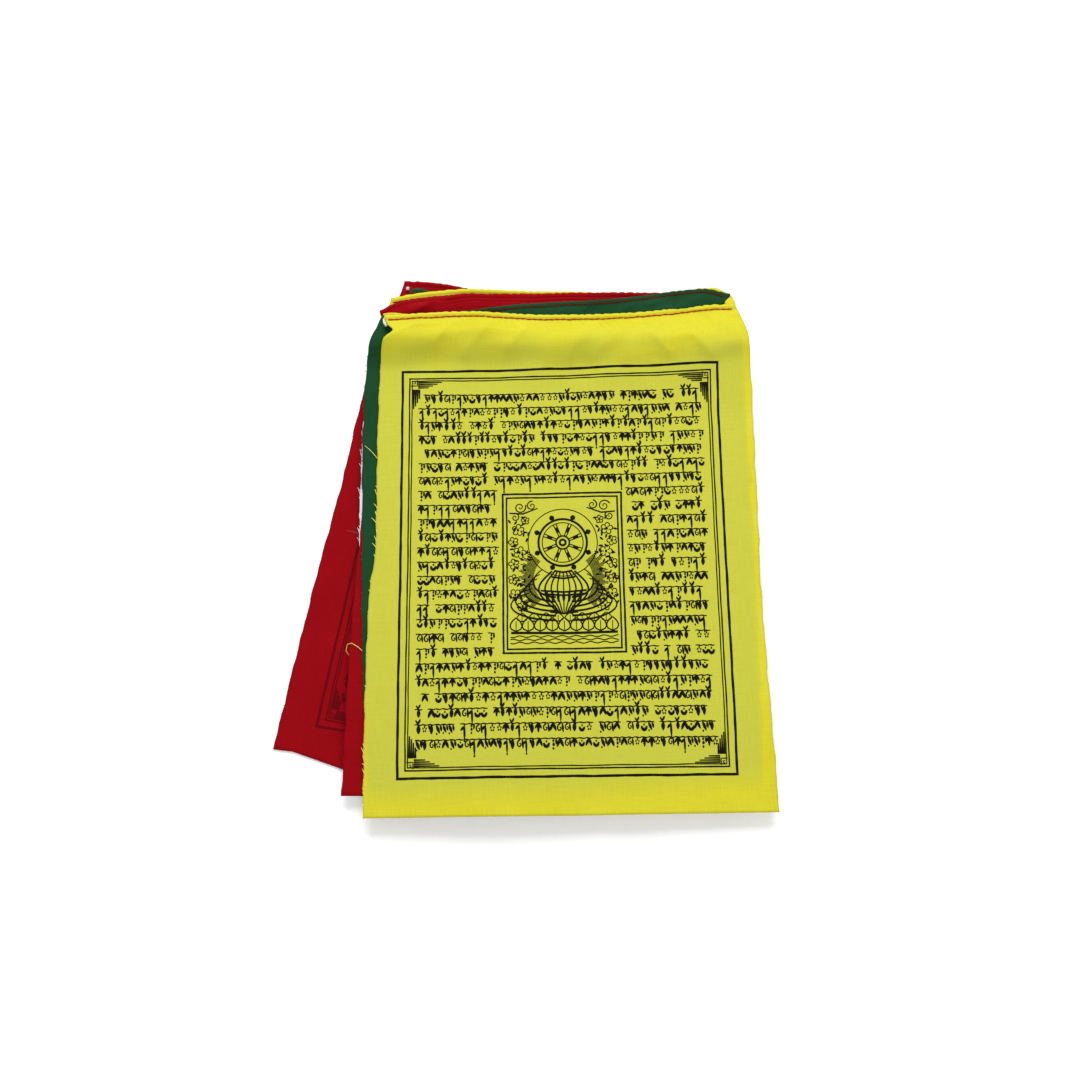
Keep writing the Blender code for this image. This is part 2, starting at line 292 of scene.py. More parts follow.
def packed_plan(name, share, down):
    """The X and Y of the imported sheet's corners, whose sides and foot are straight between their rows."""
    flag = FLAGS[name] | PACKED.get(name, {})
    rows = np.array(flag["sides"], float)
    left = np.interp(down, rows[:, 0], rows[:, 1])
    right = np.interp(down, rows[:, 0], rows[:, 2])
    head_x = rows[0, 1] + (rows[0, 2] - rows[0, 1]) * share
    around = head_x[..., None] + np.array((-9.0, -4.5, 0.0, 4.5, 9.0))
    line = flag["head"]
    slope_in = (line[1] - line[0]) / (STATIONS[1] - STATIONS[0])
    slope_out = (line[-1] - line[-2]) / (STATIONS[-1] - STATIONS[-2])
    ends = (np.clip(STATIONS[0] - around, 0, None) * -slope_in
            + np.clip(around - STATIONS[-1], 0, None) * slope_out)
    head = (np.interp(around, STATIONS, line) + ends).mean(axis=-1)
    foot_rows = np.array(flag["foot"], float)
    foot = np.interp(share, foot_rows[:, 0], foot_rows[:, 1])
    return left + (right - left) * share, head + (foot - head) * down / FLAG_DROP


class Flag:
    """One cloth: its heading folded under round the cord and stitched, then its face down to the foot."""

    def __init__(self, name):
        self.name = name
        self.flag = FLAGS[name]
        self.share = np.linspace(0, 1, self.flag["across"] + 1)
        knots, height, head_x, cord_y, cord_z = packed_sheet(name)
        first, last = self.flag["sides"][0][1:]
        self.cord_x = first + (last - first) * self.share
        packed_share = (self.cord_x - head_x[0]) / (head_x[-1] - head_x[0])
        shift = np.array(self.flag.get("shift", ((0, 0.6),)), float).T
        shift = np.mean([np.interp(self.cord_x + step, *shift) for step in (-2, 0, 2)], axis=0)
        self.cord_y = through(knots, cord_y, packed_share) + shift
        self.cord_z = through(knots, cord_z, packed_share)
        self.rows = np.concatenate(((0.0,), CAD_ROWS))
        levels = np.concatenate(((cord_z - CAD_BEAD)[None], height))
        self.levels = through(knots, levels.T, self.share).T
        rows = int(250 / self.flag["pitch"]) + 1
        self.down = np.concatenate((
            np.arange(0.4, 3.2, 0.4), np.arange(3.2, 9.0, 0.7), np.linspace(9.0, FLAG_DROP, rows)))
        self.seed = int(name.split("_")[1])
        self.seam_at = self.flag.get("seam", SEAM)
        self.grid = self.surface()

    def ragged(self, down, across):
        """The cut sides wander by a few tenths of a millimetre."""
        edge = np.exp(-across * 60) * wander(down, 23, self.seed + 3) * 0.28
        return edge + np.exp(-(1 - across) * 60) * wander(down, 27, self.seed + 5) * 0.28

    def pucker(self, x, size=1.0):
        """The scallops that stitches draw a hem into: a lopsided wave, a little uneven in its pitch."""
        turn = TURN * (x / PUCKER + 0.22 * wander(x, 19, self.seed + 7))
        height = 0.75 + 0.35 * wander(x, 33, self.seed + 8)
        return size * height * (0.7 * np.sin(turn) + 0.3 * np.sin(2 * turn + 0.9))

    def surface(self):
        """The middle surface: the hem's cut edge below, half a turn round the cord with a puckered
        radius, then the face, which leaves the turn, dips to the seam and falls slowly to the pile."""
        share, x0, cord_z, seam_at = self.share, self.cord_x, self.cord_z, self.seam_at
        radius = (TUNNEL + self.pucker(x0, 0.20))[None, :]
        angle = np.radians(np.linspace(-90, 90, 13))[:, None]
        arc_y = self.cord_y + (radius + self.pucker(x0, 0.14)) * np.cos(angle)
        arc_z = cord_z + radius * np.sin(angle)
        seam = cord_z + 0.75
        under = np.array((HEM_RETURN, 3.6, 2.8, seam_at, 0.7 * seam_at, 0.35 * seam_at))[:, None]
        to_seam = smoothstep(0, seam_at, under)
        lower_z = (cord_z - radius) * (1 - to_seam) + (seam - CLOTH - 0.12) * to_seam
        lower_z = lower_z + (self.profile(under, seam, radius) - seam) * (under > seam_at)
        lower_y = self.cord_y - under
        lower_x = plan(self.flag, share + 0 * under, under + 0 * share)[0]
        lower_z = lower_z + self.relief(lower_x, lower_y, under)
        down, across = np.meshgrid(self.down, share, indexing="ij")
        x, y = plan(self.flag, across, down)
        shift = (self.cord_y - plan(self.flag, share, np.zeros(len(share)))[1])[None, :]
        y = y + shift * (1 - smoothstep(0, 34, down))
        z = self.profile(self.down[:, None], seam, radius) + self.relief(x, y, down)
        x = x + self.ragged(down, across)
        self.first_face_row = len(under) + len(angle)
        return np.concatenate((
            columns(lower_x, lower_y, lower_z), columns(x0, arc_y, arc_z), columns(x, y, z)))

    def profile(self, down, seam, radius):
        """The height of the face: over the turn, down to the seam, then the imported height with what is
        left of the seam's height over it, which fades towards SLOPE_END."""
        packed = through(self.rows, self.levels, down[:, 0])
        seam_at = self.seam_at
        at_seam = through(self.rows, self.levels, (seam_at,))
        level = (packed - at_seam) * smoothstep(seam_at, seam_at + 16, down) + at_seam
        past = level + (seam - at_seam) * (1 - smoothstep(SLOPE_START, SLOPE_END, down))
        fall = smoothstep(0.1, seam_at, down)
        turn = self.cord_z + np.sqrt(np.clip(radius**2 - (down * 0.8) ** 2, 0, None))
        near = turn * (1 - fall) + seam * fall
        draw = 0.16 * self.pucker(self.cord_x + 1.1) * np.exp(-((down - 3.4) / 1.6) ** 2)
        return np.where(down < seam_at, near, past) + draw

    def relief(self, x, y, down):
        """Soft unevenness of the face, and the main folds of the cloths that show."""
        z = 0.12 * ripple(x, y, 46, self.seed) * smoothstep(8, 26, down)
        if self.name == "flag_1_yellow":
            z = z + 1.9 * smoothstep(4, 12, down) * (1 - smoothstep(13, 27, down))
            near = smoothstep(1.5, 6, down) * smoothstep(104, 113, y)
            for fold in (
                ((-97, 115.5), (-68, 129.5), 3.0, 8.0, 4.0), ((-66, 117), (-53, 132), 1.6, 5.0, 3.0),
                ((-50, 113), (-34, 131), 1.3, 6.0, 3.5), ((-27, 116), (-14, 130), 1.4, 6.0, 3.5),
                ((1, 108), (18, 130), 1.2, 7.0, 4.0), ((17, 111), (38, 130), 1.3, 6.0, 4.0),
                ((55, 112), (36, 133), 1.6, 3.0, 6.0), ((77, 111), (54, 134), 1.8, 3.0, 6.0),
                ((90, 121), (76, 136), 0.9, 4.0, 6.0), ((99, 108), (88, 137), 1.5, 5.0, 5.0),
            ):
                z = z + ledge(x, y, *fold) * near
        if self.name == "flag_3_red":
            left = smoothstep(-58, -66, x)
            z = z + 0.30 * (1 - left) * smoothstep(0.6, 2, down) * (1 - smoothstep(8, 11, down)) * (
                np.sin(TURN * (down + 0.25 * wander(x, 40, 2)) / 1.75))
            z = z + ledge(x, y, (-74, 138), (-57, 147), 2.3, 6.0, 1.4) * smoothstep(0.8, 2.5, down)
            z = z + left * 1.3 * np.exp(-((x + 76) / 11) ** 2 - ((down - 4.5) / 3.5) ** 2)
        if self.name == "flag_2_green":
            for at, size in ((38, 1.0), (50, 1.4), (62, -1.3), (18, -0.9), (2, 0.8), (74, 0.9)):
                z = z + size * np.exp(-((x + 0.5 * down - at) / 4.0) ** 2 - ((down - 4.5) / 2.4) ** 2)
        if self.name == "flag_8_red":
            z = z + 0.4 * smoothstep(-98, -112, x) * (1 + wander(y, 70, 4))
        return z

    def at(self, share, down):
        """Places on the face, by share of the width and mm down from the cord: bilinear in the grid."""
        i, t = piece_of(self.down, down)
        t = t[..., None]
        place = np.clip(share, 0, 1) * (len(self.share) - 1)
        j = np.clip(place.astype(int), 0, len(self.share) - 2)
        s = (place - j)[..., None]
        face = self.grid[self.first_face_row:]
        return ((1 - t) * ((1 - s) * face[i, j] + s * face[i, j + 1])
                + t * ((1 - s) * face[i + 1, j] + s * face[i + 1, j + 1]))

    def find(self, x, y):
        """The share and the mm down of a place on the face, by a few steps towards it."""
        share = np.full(np.shape(x), 0.5)
        down = share * FLAG_DROP + 0.5
        for _ in range(12):
            here = self.at(share, down)
            share = share + (x - here[..., 0]) / 195
            down = down - (y - here[..., 1])
        return share, down


def grid_faces(rows, across):
    """The quads of a grid of points, whose front faces up where rows run down and the rest to the right."""
    index = np.arange(rows * across).reshape(rows, across)
    return columns(index[:-1, :-1], index[1:, :-1], index[1:, 1:], index[:-1, 1:]).reshape(-1, 4)


def add_mesh(name, points, faces, look, smooth=True):
    """A mesh object of points in mm at the origin, with one material."""
    mesh = bpy.data.meshes.new(name)
    points = np.asarray(points, np.float32).reshape(-1, 3) * MM
    faces = np.asarray(faces, np.int32)
    mesh.vertices.add(len(points))
    mesh.vertices.foreach_set("co", points.ravel())
    mesh.loops.add(faces.size)
    mesh.loops.foreach_set("vertex_index", faces.ravel())
    mesh.polygons.add(len(faces))
    mesh.polygons.foreach_set("loop_start", np.arange(0, faces.size, faces.shape[1], dtype=np.int32))
    mesh.update(calc_edges=True)
    mesh.validate()
    if smooth:
        mesh.shade_smooth()
    mesh.materials.append(look)
    made = bpy.data.objects.new(name, mesh)
    scene.collection.objects.link(made)
    return made


def add_uv(obj, flat):
    """A UV map in metres of flat cloth, from one pair for each vertex."""
    layer = obj.data.uv_layers.new(name="cloth")
    corners = np.empty(len(obj.data.loops), np.int32)
    obj.data.loops.foreach_get("vertex_index", corners)
    layer.data.foreach_set("uv", (np.asarray(flat, np.float32)[corners] * MM).ravel())


def add_value(obj, name, values):
    """A number for each vertex, which a material reads by name."""
    layer = obj.data.attributes.new(name, "FLOAT", "POINT")
    layer.data.foreach_set("value", np.asarray(values, np.float32).ravel())


# Materials: values are written as expressions, and each operator adds its Math node


def node_method(operation, reflected=False):
    """A method of Value that adds one Math node, with its inputs turned round if reflected."""
    def method(self, *others):
        inputs = (*others, self) if reflected else (self, *others)
        return self.shader.number("ShaderNodeMath", {"operation": operation}, *inputs)
    return method


class Value:
    """A number that varies over a surface."""

    def __init__(self, shader, socket):
        self.shader = shader
        self.socket = socket

    __add__ = __radd__ = node_method("ADD")
    __mul__ = __rmul__ = node_method("MULTIPLY")
    __sub__ = node_method("SUBTRACT")
    __rsub__ = node_method("SUBTRACT", reflected=True)
    sine = node_method("SINE")

    def clamped(self):
        return self.shader.number("ShaderNodeClamp", {}, self, 0.0, 1.0)


class Shader:
    """A material under construction: its nodes, and the Principled shader that they feed."""

    def __init__(self, name, roughness, sheen=0.0, specular=0.3):
        self.material = bpy.data.materials.new(name)
        self.material.use_nodes = True
        self.tree = self.material.node_tree
        self.principled = self.tree.nodes["Principled BSDF"]
        self.set("Roughness", roughness)
        self.set("Sheen Weight", sheen)
        self.set("Sheen Roughness", 0.5)
        self.set("Specular IOR Level", specular)

    def set(self, socket, value):
        """Sets or links one input of the Principled shader."""
        self.feed(self.principled.inputs[socket], value)

    def feed(self, socket, value):
        if isinstance(value, Value):
            value = value.socket
        if isinstance(value, bpy.types.NodeSocket):
            self.tree.links.new(value, socket)
        else:
            socket.default_value = value

    def node(self, kind, settings, inputs):
        """Adds a node, gives it its settings, then sets or links its inputs by name or number."""
        made = self.tree.nodes.new(kind)
        for key, value in settings.items():
            setattr(made, key, value)
        for key, value in inputs.items():
            self.feed(made.inputs[key], value)
        return made

    def number(self, kind, settings, *inputs):
        made = self.node(kind, settings, dict(enumerate(inputs)))
        return Value(self, made.outputs[0])

    def noise(self, place, scale, detail=3.0):
        made = self.node("ShaderNodeTexNoise", {}, {"Vector": place, "Scale": scale, "Detail": detail})
        return Value(self, made.outputs["Fac"])

    def parts(self, vector):
        made = self.node("ShaderNodeSeparateXYZ", {}, {0: vector})
        return [Value(self, made.outputs[i]) for i in range(3)]

    def uv(self):
        return self.node("ShaderNodeUVMap", {"uv_map": "cloth"}, {}).outputs[0]

    def place(self):
        return self.node("ShaderNodeTexCoord", {}, {}).outputs["Object"]

    def attribute(self, name):
        made = self.node("ShaderNodeAttribute", {"attribute_name": name}, {})
        return Value(self, made.outputs["Fac"])

    def mix(self, share, first, second):
        """A colour between two, by a share from 0 to 1. A tuple is a display colour of 0 to 255."""
        first, second = (colour(shade) if isinstance(shade, tuple) else shade for shade in (first, second))
        made = self.node("ShaderNodeMix", {"data_type": "RGBA"}, {0: share, 6: first, 7: second})
        return made.outputs[2]

    def bump(self, height, strength, distance):
        inputs = {"Height": height, "Strength": strength, "Distance": distance}
        made = self.node("ShaderNodeBump", {}, inputs)
        self.set("Normal", made.outputs[0])


def colour(shade):
    """A display colour of 0 to 255 as the linear colour that a node takes."""
    shares = np.array(shade) / 255
    linear = np.where(shares <= 0.04045, shares / 12.92, ((shares + 0.055) / 1.055) ** 2.4)
    return (*(float(x) for x in linear), 1.0)


WEAVE_PITCH = 0.00046


def cotton(name, main, deep, pale, under=None):
    """Plain-woven dyed cotton: warp and weft cross in a checker of tiny humps, slubs thicken and darken
    single threads, and the dye has taken unevenly."""
    made = Shader(name, 0.9, sheen=0.02, specular=0.06)
    flat = made.uv()
    across, down, _ = made.parts(flat)
    warp = (across * (TURN / WEAVE_PITCH)).sine()
    weft = (down * (TURN / WEAVE_PITCH)).sine()
    weave = warp * weft
    warp_slub, weft_slub = (
        made.noise(made.node("ShaderNodeMapping", {}, {"Vector": flat, "Scale": scale}).outputs[0], 1.0, 2.0)
        for scale in ((2600, 90, 1), (80, 2600, 1)))
    cloud = made.noise(flat, 38, 4.0)
    slub = (warp_slub + weft_slub - 1.0) * 1.7
    base = made.mix((cloud * 1.6 - 0.3).clamped(), main, pale)
    if under:
        base = made.mix(made.attribute("under").clamped(), base, under)
    base = made.mix(((slub * 0.30 + weave * 0.10) + 0.10).clamped(), base, deep)
    made.set("Base Color", base)
    made.set("Roughness", ((weave * 0.04 + 0.86) + slub * 0.05).clamped())
    made.bump(weave * 0.6 + slub * 0.6, 0.45, 0.00010)
    return made.material


def thread_look(name, main, deep):
    """Spun thread: fine fibres run round it in a tight spiral of light and dark."""
    made = Shader(name, 0.8, sheen=0.03, specular=0.1)
    fibres = made.noise(made.place(), 3200, 3.0)
    made.set("Base Color", made.mix(fibres, main, deep))
    made.bump(fibres, 0.5, 0.00006)
    return made.material


def ink_look(name, main, pale):
    """Block-printing ink soaked into the weave: nearly black, worn paler on the humps of the threads."""
    made = Shader(name, 0.85, specular=0.06)
    place = made.place()
    worn = made.noise(place, 900, 4.0)
    cloud = made.noise(place, 60, 3.0)
    made.set("Base Color", made.mix(((worn - 0.55) * 1.8 + (cloud - 0.5) * 0.5).clamped(), main, pale))
    made.set("Roughness", worn * 0.2 + 0.68)
    made.bump(worn, 0.3, 0.00008)
    return made.material


LOOKS = {
    "yellow": cotton("yellow_cotton", (190, 183, 32), (154, 140, 8), (197, 191, 50),
                     under=(176, 178, 60)),
    "green": cotton("green_cotton", (18, 57, 31), (8, 35, 17), (26, 67, 39)),
    "red": cotton("red_cotton", (127, 0, 9), (90, 0, 4), (140, 2, 12)),
    "white": cotton("white_cotton", (226, 222, 236), (178, 172, 196), (240, 238, 246)),
    "blue": cotton("blue_cotton", (34, 60, 150), (16, 30, 96), (50, 80, 170)),
    "cord": thread_look("white_cord", (236, 234, 228), (186, 182, 172)),
    "red_thread": thread_look("red_thread", (176, 24, 8), (120, 8, 2)),
    "dark_thread": thread_look("dark_red_thread", (112, 10, 4), (64, 4, 0)),
    "yellow_thread": thread_look("yellow_thread", (236, 232, 128), (212, 204, 84)),
    "white_thread": thread_look("white_thread", (240, 238, 244), (200, 198, 212)),
    "green_thread": thread_look("green_thread", (40, 100, 62), (20, 64, 36)),
    "red_fray": thread_look("red_fray", (140, 6, 16), (100, 0, 8)),
    "ink": ink_look("black_ink", (14, 13, 8), (58, 56, 18)),
    "red_ink": ink_look("red_ink_shadow", (86, 0, 5), (112, 0, 7)),
}


def cloth_of(name):
    return name.rsplit("_", 1)[1]


# The flags


def add_flag(cloth):
    """A flag as one sheet with its hem, its UV map in mm of flat cloth, and its thickness."""
    grid = cloth.grid
    step = np.linalg.norm(np.diff(grid, axis=0), axis=-1).mean(axis=1)
    along = np.concatenate(((0.0,), np.cumsum(step)))
    flat_v, flat_u = np.meshgrid(-along, cloth.share * 1000 * FLAG_SIZE[0], indexing="ij")
    made = add_mesh(cloth.name + "_cloth", grid, grid_faces(*grid.shape[:2]), LOOKS[cloth_of(cloth.name)])
    add_uv(made, columns(flat_u, flat_v).reshape(-1, 2))
    thick = made.modifiers.new("thickness", "SOLIDIFY")
    thick.thickness = CLOTH * MM
    thick.offset = 0
    thick.use_even_offset = False
    return made


def add_tubes(name, path, radius, sides, look, flat=1.0):
    """Tubes as one mesh, closed at both ends: each ring is the path's point plus its radius times two cross
    vectors, the upright one times flat. path is (tubes, points, 3); radius may vary along it."""
    path = np.asarray(path, float)
    tangent = np.gradient(path, axis=1)
    tangent /= np.linalg.norm(tangent, axis=-1, keepdims=True) + 1e-9
    first = np.cross(tangent, (0, 0, 1.0))
    weak = np.linalg.norm(first, axis=-1, keepdims=True) < 0.05
    first = np.where(weak, np.array((0.0, 1.0, 0.0)), first)
    first /= np.linalg.norm(first, axis=-1, keepdims=True)
    second = np.cross(tangent, first)
    angle = TURN * np.arange(sides) / sides
    size = np.broadcast_to(np.asarray(radius, float), path.shape[:2])[..., None, None]
    ring = np.cos(angle)[:, None] * first[:, :, None] + flat * np.sin(angle)[:, None] * second[:, :, None]
    points = path[:, :, None] + size * ring
    count, length = path.shape[:2]
    index = np.arange(count * length * sides).reshape(count, length, sides)
    a, b = index[:, :-1], index[:, 1:]
    c, d = np.roll(b, -1, 2), np.roll(a, -1, 2)
    start, end = index[:, 0], index[:, -1]
    cap = index.size + 2 * np.arange(count)[:, None]
    faces = np.concatenate([columns(*corners).reshape(-1, 3) for corners in (
        (a, b, c), (a, c, d), (start, np.roll(start, -1, 1), cap), (np.roll(end, -1, 1), end, cap + 1))])
    centres = np.stack((path[:, 0], path[:, -1]), 1).reshape(-1, 3)
    return add_mesh(name, np.concatenate((points.reshape(-1, 3), centres)), faces, look)


cloths = {name: Flag(name) for name in FLAGS}
pieces = {name: add_flag(cloth) for name, cloth in cloths.items()}


def shown_under(cloth, lower):
    """How much the green cloth shows through the yellow one: fully where it lies close below, and less near
    the heading, where the yellow stands off it."""
    grid = cloth.grid
    x, y = grid[..., 0], grid[..., 1]
    share, down = lower.find(x, y)
    inside = (smoothstep(-0.012, 0.012, share) * smoothstep(-0.016, 0.014, 1 - share)
              * smoothstep(0, 3, down) * smoothstep(-3, 14, FLAG_DROP - down))
    own_down = grid[cloth.first_face_row, :, 1][None, :] - y
    blotch = 1 + 0.25 * ripple(x, y, 38, 5) * (1 - smoothstep(20, 60, own_down))
    return inside * smoothstep(3, 33, own_down * blotch)


add_value(pieces["flag_1_yellow"], "under", shown_under(cloths["flag_1_yellow"], cloths["flag_2_green"]))
add_value(pieces["flag_6_yellow"], "under", np.zeros(cloths["flag_6_yellow"].grid.shape[:2]))


# The print: thin films of ink, drawn as ribbons on a flat panel that is then laid on the cloth


def ribbons(paths, widths):
    """Ribbons in the plane: each point of a path moves out to both sides by half its width, square to it.
    paths is (ribbons, points, 2) and widths (ribbons, points)."""
    tangent = np.gradient(paths, axis=1)
    tangent /= np.linalg.norm(tangent, axis=-1, keepdims=True) + 1e-9
    across = columns(-tangent[..., 1], tangent[..., 0]) * widths[..., None] / 2
    return np.stack((paths + across, paths - across), axis=2)


def in_sevens(x, y, width):
    """A long line as strokes of seven points each, end to end."""
    line = columns(x, y, width)
    return line[6 * np.arange(len(line) // 6)[:, None] + np.arange(7)]


def strokes(*drawn):
    """Strokes of seven points each, from short lists of (x, y, width) that they pass through evenly."""
    made = []
    for points in drawn:
        points = np.array(points, float)
        at = np.linspace(0, len(points) - 1, 7)
        made.append(np.stack([np.interp(at, np.arange(len(points)), points[:, i]) for i in range(3)], -1))
    return np.array(made)


def bow(x, y, rx, ry, first, last, width):
    """An arc of an ellipse as a stroke of seven points, thin at its ends."""
    angle = np.radians(np.linspace(first, last, 7))
    thick = width * (0.55 + 0.45 * np.sin(np.linspace(0, math.pi, 7)))
    return columns(x + rx * np.cos(angle), y + ry * np.sin(angle), thick)[None]


def leaf(x, y, dx, dy, width):
    """A leaf: a straight stroke that swells at its middle."""
    share = np.linspace(0, 1, 7)
    return columns(x + dx * share, y + dy * share, width * np.sin(math.pi * (0.08 + 0.84 * share)))[None]


def spiral(x, y, size, turns, first, width, flip=1):
    """A scroll as three strokes: its radius falls evenly to nothing while it turns."""
    at = np.linspace(0, 1, 19)
    angle = first + flip * TURN * turns * at
    radius = size * (1 - at * 0.92)
    return in_sevens(x + radius * np.cos(angle), y + radius * np.sin(angle), width * (1 - 0.4 * at))


def garland():
    """The ornaments that hang from a printed row's vine: each is a few leaves, dots and bows."""
    def dot(x, y, size):
        return leaf(x - size / 2, y, size, 0, size * 1.15)

    berries = [dot(0.75 * math.cos(t), -1.5 + 0.75 * math.sin(t), 0.75)
               for t in np.radians(90 + 72 * np.arange(5))]
    return [np.concatenate(parts) for parts in (
        (leaf(0, 0, 0, -3.1, 1.5), leaf(-1.2, 0.1, 0.3, -1.7, 0.8)),
        (leaf(0, 0, -1.4, -2.6, 1.15), leaf(0, 0, 1.4, -2.6, 1.15)),
        (leaf(0, 0, -1.5, -1.8, 0.95), leaf(0, 0, 0, -3.0, 1.05), leaf(0, 0, 1.5, -1.8, 0.95)),
        (leaf(0, 0, 0, -0.9, 0.45), *berries),
        (dot(0, -0.7, 0.9), dot(0.1, -1.8, 1.15), dot(0, -3.0, 0.85), leaf(1.2, 0, 0, -1.8, 0.8)),
        (bow(0, -1.1, 1.15, 1.4, 190, 350, 1.25), dot(0, -0.9, 0.75)),
        (spiral(0, -1.6, 1.25, 1.1, 1.4, 0.6), leaf(1.1, -0.1, 0.3, -2.8, 0.85)),
        (leaf(0.2, 0, 0.1, -5.0, 0.85), dot(0.3, -5.1, 0.8), leaf(0.2, -0.6, -1.6, -1.4, 1.0)),
        (leaf(-0.2, 0.2, 1.0, 1.6, 0.85), leaf(-0.2, 0.2, -1.1, 1.3, 0.7), leaf(0, 0, 0, -2.7, 1.5)),
        (leaf(-1.0, 0, 1.5, -2.8, 1.15), leaf(0.9, -0.2, 0.4, -1.9, 0.95), dot(-0.8, -2.9, 0.75)),
    )]


PANEL = (165.5, 211.5)
ROW_PITCH = 7.48
ROW_TOP = 13.4
PICTURE = (52.3, 67.9, 112.9, 150.9)


def printed_rows(seed):
    """Vines of ornament in 25 rows, 12 of them split by the picture. Each ornament takes a random kind,
    width and size, and a vine has a few rests."""
    chance = np.random.default_rng(seed)
    kinds = garland()
    made = []
    last = PANEL[0] - 9.0
    spans = []
    for row in range(25):
        beside_picture = ((9.2, PICTURE[0] - 2.2), (PICTURE[2] + 2.6, last))
        ends = beside_picture if 7 <= row < 19 else ((9.2 + (2.6 if row == 0 else 0), last),)
        spans += [(ROW_TOP + ROW_PITCH * row, *pair) for pair in ends]
    for level, start, end in spans:
        width = chance.uniform(2.9, 3.7, 60)
        rest = chance.random(60) < 0.075
        at = start + 1.6 + np.cumsum(width + 3.0 * rest) - width[0]
        keep = at < end - 1.3
        at, width = at[keep], width[keep]
        kind = chance.integers(0, len(kinds), len(at))
        bend = np.linspace(0, 1, 7)
        made.append(columns(at[:, None] + (bend - 0.5) * width[:, None] * 1.12,
                            -level + 0.16 * np.sin(TURN * bend), 0.62 - 0.14 * np.cos(TURN * bend)))
        for number, shape in enumerate(kinds):
            here = at[kind == number][:, None, None]
            size = chance.uniform(0.92, 1.08, here.shape)
            x = here + shape[None, ..., 0] * size * 1.08
            y = -level + shape[None, ..., 1] * size * 1.5
            thick = shape[None, ..., 2] * size * 1.3
            made.append(columns(x, y, thick).reshape(-1, 7, 3))
    return np.concatenate(made)


def long_line(x0, y0, x1, y1, width, pieces):
    """A straight ruled line as strokes end to end, which its block printed a little unevenly."""
    at = np.linspace(0, 1, 6 * pieces + 1)
    wave = 0.09 * wander(at * math.hypot(x1 - x0, y1 - y0), 34, int(abs(x0 * 7 + y0 * 3 + x1)) + 1)
    across = np.array((y0 - y1, x1 - x0)) / math.hypot(x1 - x0, y1 - y0)
    thick = width * (1 + 0.10 * wander(at * 200, 17, int(abs(y1 * 5 + x0)) + 2))
    return in_sevens(x0 + (x1 - x0) * at + across[0] * wave, y0 + (y1 - y0) * at + across[1] * wave, thick)


def box_lines(left, top, right, bottom, width, pieces):
    """A ruled rectangle whose lines run past each other by half their width, so that its corners close."""
    over = width / 2
    return np.concatenate([long_line(*ends, width, pieces) for ends in (
        (left - over, -top, right + over, -top), (left - over, -bottom, right + over, -bottom),
        (left, -top, left, -bottom), (right, -top, right, -bottom))])


def corner_fret():
    """A stepped key fret for a corner: a square scroll, with bars of falling length in both directions."""
    bars = [strokes(((5.0, -8.2, 0.6), (8.2, -8.2, 0.6), (8.2, -5.0, 0.6))),
            strokes(((6.2, -7.0, 0.5), (7.2, -7.0, 0.5), (7.2, -6.0, 0.5), (6.4, -6.0, 0.5)))]
    for number, (wide, high) in enumerate(((12.4, 10.6), (10.2, 9.2), (7.8, 7.4), (5.6, 5.2))):
        level = 6.4 + 0.98 * number
        bars.append(strokes(((8.6, -level, 0.86), (8.6 + wide, -level, 0.6))))
        bars.append(strokes(((level, -10.2, 1.05), (level, -10.2 - high, 0.7))))
    return np.concatenate(bars)


def border():
    """The frame of the panel: one heavy rule, two fine ones inside it, and a fret in each corner."""
    wide, high = PANEL
    parts = [box_lines(inset, inset, wide - inset, high - inset, width, 16)
             for inset, width in ((0.6, 1.25), (4.3, 0.75), (5.6, 0.60))]
    fret = corner_fret()
    for turn_x in (0, 1):
        for turn_y in (0, 1):
            parts.append(fret * (1 - 2 * turn_x, 1 - 2 * turn_y, 1) + (wide * turn_x, -high * turn_y, 0))
    return np.concatenate(parts)


def circle(x, y, radius, width):
    """A circle as six strokes of a sixth of a turn."""
    angle = np.linspace(0, TURN, 37)
    return in_sevens(x + radius * np.cos(angle), y + radius * np.sin(angle), width)


def blossom(x, y, size, first):
    """A five-petalled flower: five open loops round a dark centre."""
    turns = first + 72 * np.arange(5)
    petals = [bow(x + size * math.cos(math.radians(t)), y + size * math.sin(math.radians(t)), size * 0.62,
                  size * 0.62, t - 150, t + 150, 0.42) for t in turns]
    return np.concatenate(petals + [leaf(x - 0.6, y, 1.2, 0, 1.2)])


def petal(x, y, width, height, thick):
    """A lotus petal: two curved strokes that meet in a point, with a vein between them."""
    share = np.linspace(0, 1, 7)
    swell = width / 2 * np.sin(math.pi * share**0.75) ** 0.8
    return np.concatenate((in_sevens(x - swell, y + height * share, thick),
                           in_sevens(x + swell, y + height * share, thick),
                           in_sevens(x, y + height * 0.75 * share, thick * 0.6)))


